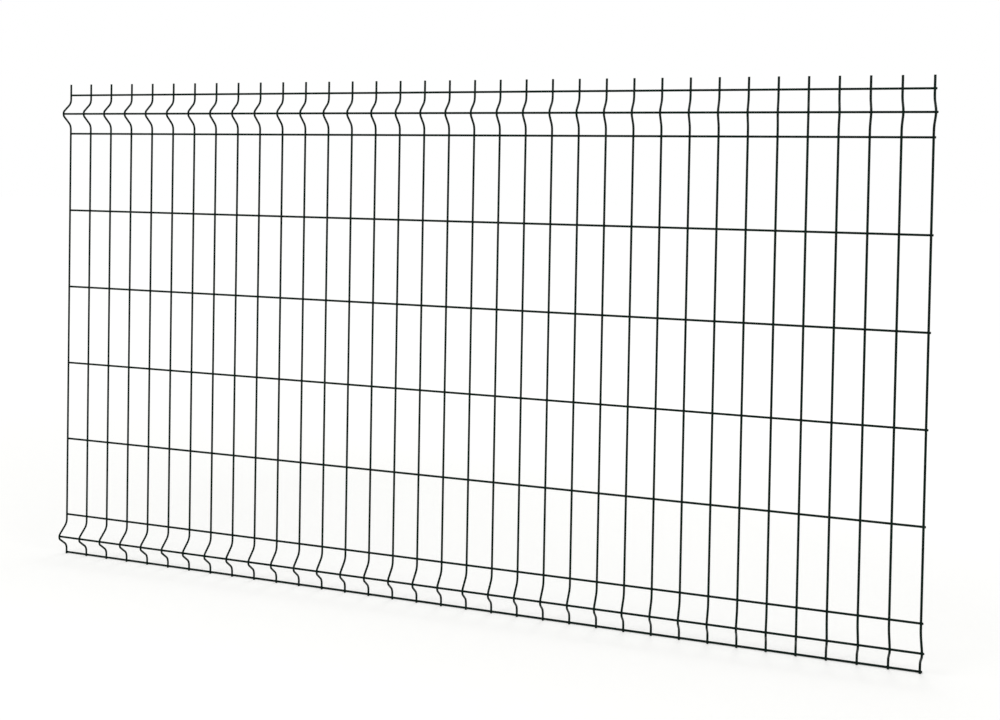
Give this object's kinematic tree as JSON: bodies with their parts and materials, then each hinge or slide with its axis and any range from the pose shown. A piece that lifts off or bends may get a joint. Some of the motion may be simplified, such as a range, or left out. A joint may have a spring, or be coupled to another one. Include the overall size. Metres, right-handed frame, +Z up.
{
  "type": "welded mesh fence panel",
  "caption": "Welded wire mesh fence panel with tall meshes, a V fold near the top and the bottom edge, and short barbs along the top.",
  "frame": {"origin": "on the back of the lowest level wire, halfway along the panel", "axes": "+X along the panel, to the right seen from the front; +Y to the back, out of the side where the level wires lie; +Z up, towards the barbs"},
  "size_m": [2.05, 0.045, 1.23],
  "materials": {
    "coated_wire": "semi-gloss powder coat, very dark green"
  },
  "bodies": {
    "root": {"upright_wire_01": "coated_wire", "upright_wire_02": "coated_wire", "upright_wire_03": "coated_wire", "upright_wire_04": "coated_wire", "upright_wire_05": "coated_wire", "upright_wire_06": "coated_wire", "upright_wire_07": "coated_wire", "upright_wire_08": "coated_wire", "upright_wire_09": "coated_wire", "upright_wire_10": "coated_wire", "upright_wire_11": "coated_wire", "upright_wire_12": "coated_wire", "upright_wire_13": "coated_wire", "upright_wire_14": "coated_wire", "upright_wire_15": "coated_wire", "upright_wire_16": "coated_wire", "upright_wire_17": "coated_wire", "upright_wire_18": "coated_wire", "upright_wire_19": "coated_wire", "upright_wire_20": "coated_wire", "upright_wire_21": "coated_wire", "upright_wire_22": "coated_wire", "upright_wire_23": "coated_wire", "upright_wire_24": "coated_wire", "upright_wire_25": "coated_wire", "upright_wire_26": "coated_wire", "upright_wire_27": "coated_wire", "upright_wire_28": "coated_wire", "upright_wire_29": "coated_wire", "upright_wire_30": "coated_wire", "upright_wire_31": "coated_wire", "upright_wire_32": "coated_wire", "upright_wire_33": "coated_wire", "upright_wire_34": "coated_wire", "upright_wire_35": "coated_wire", "level_wire_bottom": "coated_wire", "level_wire_bottom_crest": "coated_wire", "level_wire_01": "coated_wire", "level_wire_02": "coated_wire", "level_wire_03": "coated_wire", "level_wire_04": "coated_wire", "level_wire_05": "coated_wire", "level_wire_06": "coated_wire", "level_wire_top_crest": "coated_wire", "level_wire_top": "coated_wire"}
  },
  "joints": []
}
